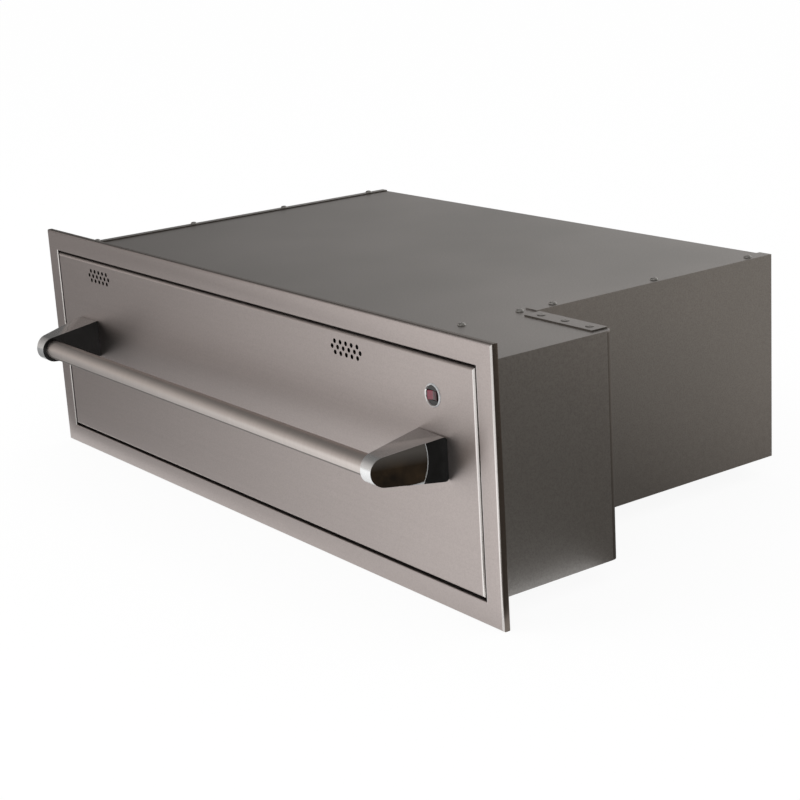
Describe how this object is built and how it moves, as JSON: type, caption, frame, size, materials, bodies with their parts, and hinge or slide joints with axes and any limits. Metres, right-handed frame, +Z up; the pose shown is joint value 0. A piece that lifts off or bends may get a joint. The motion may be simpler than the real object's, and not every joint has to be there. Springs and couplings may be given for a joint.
{
  "type": "built in warming drawer",
  "caption": "Built in warming drawer: insulated drawer on ball slides with a bar handle and a red rocker switch, in a trimmed steel casing with a control box.",
  "frame": {"origin": "underside of the casing, midway across, in the plane where the trim frame's back meets the cabinet front", "axes": "+X to the right seen from the front, +Y into the cabinet, +Z up"},
  "size_m": [0.914, 0.6025, 0.286],
  "materials": {
    "brushed_front": "satin, grain along X",
    "brushed_bar": "fine satin",
    "post_steel": "satin top and polished cheeks",
    "casing_steel": "mill finish sheet",
    "side_steel": "fine grained sheet",
    "liner_steel": "bright sheet",
    "rivet": "satin",
    "fastener": "zinc plated",
    "slide_zinc": "zinc plated",
    "cage_zinc": "bright",
    "element_sheath": "heat darkened",
    "brass": "plain",
    "black_moulding": "matte",
    "pale_moulding": "matte",
    "red_rocker": "gloss, translucent red",
    "gasket_rubber": "matte silicone",
    "insulation": "fibre slab",
    "polished": "polished"
  },
  "bodies": {
    "casing": {"trim_frame": "brushed_front", "top_panel": "casing_steel", "bottom_panel": "casing_steel", "left_wall": "casing_steel", "right_wall": "casing_steel", "rear_wall": "casing_steel", "side_box_wall": "side_steel", "front_bulkhead": "casing_steel", "control_cover": "casing_steel", "cover_screws": "fastener", "cover_nuts": "fastener", "liner": "liner_steel", "insulation_top": "insulation", "insulation_bottom": "insulation", "insulation_left": "insulation", "insulation_right": "insulation", "insulation_back": "insulation", "pop_rivets": "rivet", "slide_outer_left": "slide_zinc", "slide_outer_right": "slide_zinc", "heating_element": "element_sheath", "element_clips": "fastener", "element_bushings": "brass", "element_terminals": "fastener", "snap_thermostat": "black_moulding", "terminal_block": "pale_moulding", "earth_stud": "brass", "cord_gland": "black_moulding"},
    "drawer": {"front_skin": "brushed_front", "front_inner_panel": "liner_steel", "front_insulation": "insulation", "front_gasket": "gasket_rubber", "handle_bar": "brushed_bar", "handle_post_left": "post_steel", "handle_post_right": "post_steel", "handle_backers": "fastener", "handle_screws": "fastener", "switch_ring": "polished", "switch_housing": "black_moulding", "pan_bottom": "liner_steel", "pan_front_wall": "liner_steel", "pan_back_wall": "liner_steel", "pan_left_wall": "liner_steel", "pan_right_wall": "liner_steel", "pan_screws": "fastener", "slide_inner_left": "slide_zinc", "slide_inner_right": "slide_zinc"},
    "rocker": {"switch_rocker": "red_rocker"},
    "mid_left": {"slide_mid_left": "slide_zinc"},
    "mid_right": {"slide_mid_right": "slide_zinc"},
    "outer_balls_left": {"cage_outer_left": "cage_zinc"},
    "outer_balls_right": {"cage_outer_right": "cage_zinc"},
    "inner_balls_left": {"cage_inner_left": "cage_zinc"},
    "inner_balls_right": {"cage_inner_right": "cage_zinc"}
  },
  "joints": [
    {"name": "drawer_slide", "type": "slide", "parent": "casing", "child": "drawer", "axis": [0, -1, 0], "range_m": [0, 0.42]},
    {"name": "mid_left_slide", "type": "slide", "parent": "casing", "child": "mid_left", "axis": [0, -1, 0], "range_m": [0, 0.21]},
    {"name": "mid_right_slide", "type": "slide", "parent": "casing", "child": "mid_right", "axis": [0, -1, 0], "range_m": [0, 0.21]},
    {"name": "outer_balls_left_slide", "type": "slide", "parent": "casing", "child": "outer_balls_left", "axis": [0, -1, 0], "range_m": [0, 0.105]},
    {"name": "outer_balls_right_slide", "type": "slide", "parent": "casing", "child": "outer_balls_right", "axis": [0, -1, 0], "range_m": [0, 0.105]},
    {"name": "inner_balls_left_slide", "type": "slide", "parent": "casing", "child": "inner_balls_left", "axis": [0, -1, 0], "range_m": [0, 0.315]},
    {"name": "inner_balls_right_slide", "type": "slide", "parent": "casing", "child": "inner_balls_right", "axis": [0, -1, 0], "range_m": [0, 0.315]},
    {"name": "rocker_tilt", "type": "hinge", "parent": "drawer", "child": "rocker", "pos_m": [0.364, -0.0066, 0.1966], "axis": [0, 0, -1], "range_deg": [0, 16]}
  ],
  "couplings": [
    {"joint": "mid_left_slide", "follows": "drawer_slide", "ratio": 0.5},
    {"joint": "mid_right_slide", "follows": "drawer_slide", "ratio": 0.5},
    {"joint": "outer_balls_left_slide", "follows": "drawer_slide", "ratio": 0.25},
    {"joint": "outer_balls_right_slide", "follows": "drawer_slide", "ratio": 0.25},
    {"joint": "inner_balls_left_slide", "follows": "drawer_slide", "ratio": 0.75},
    {"joint": "inner_balls_right_slide", "follows": "drawer_slide", "ratio": 0.75}
  ]
}
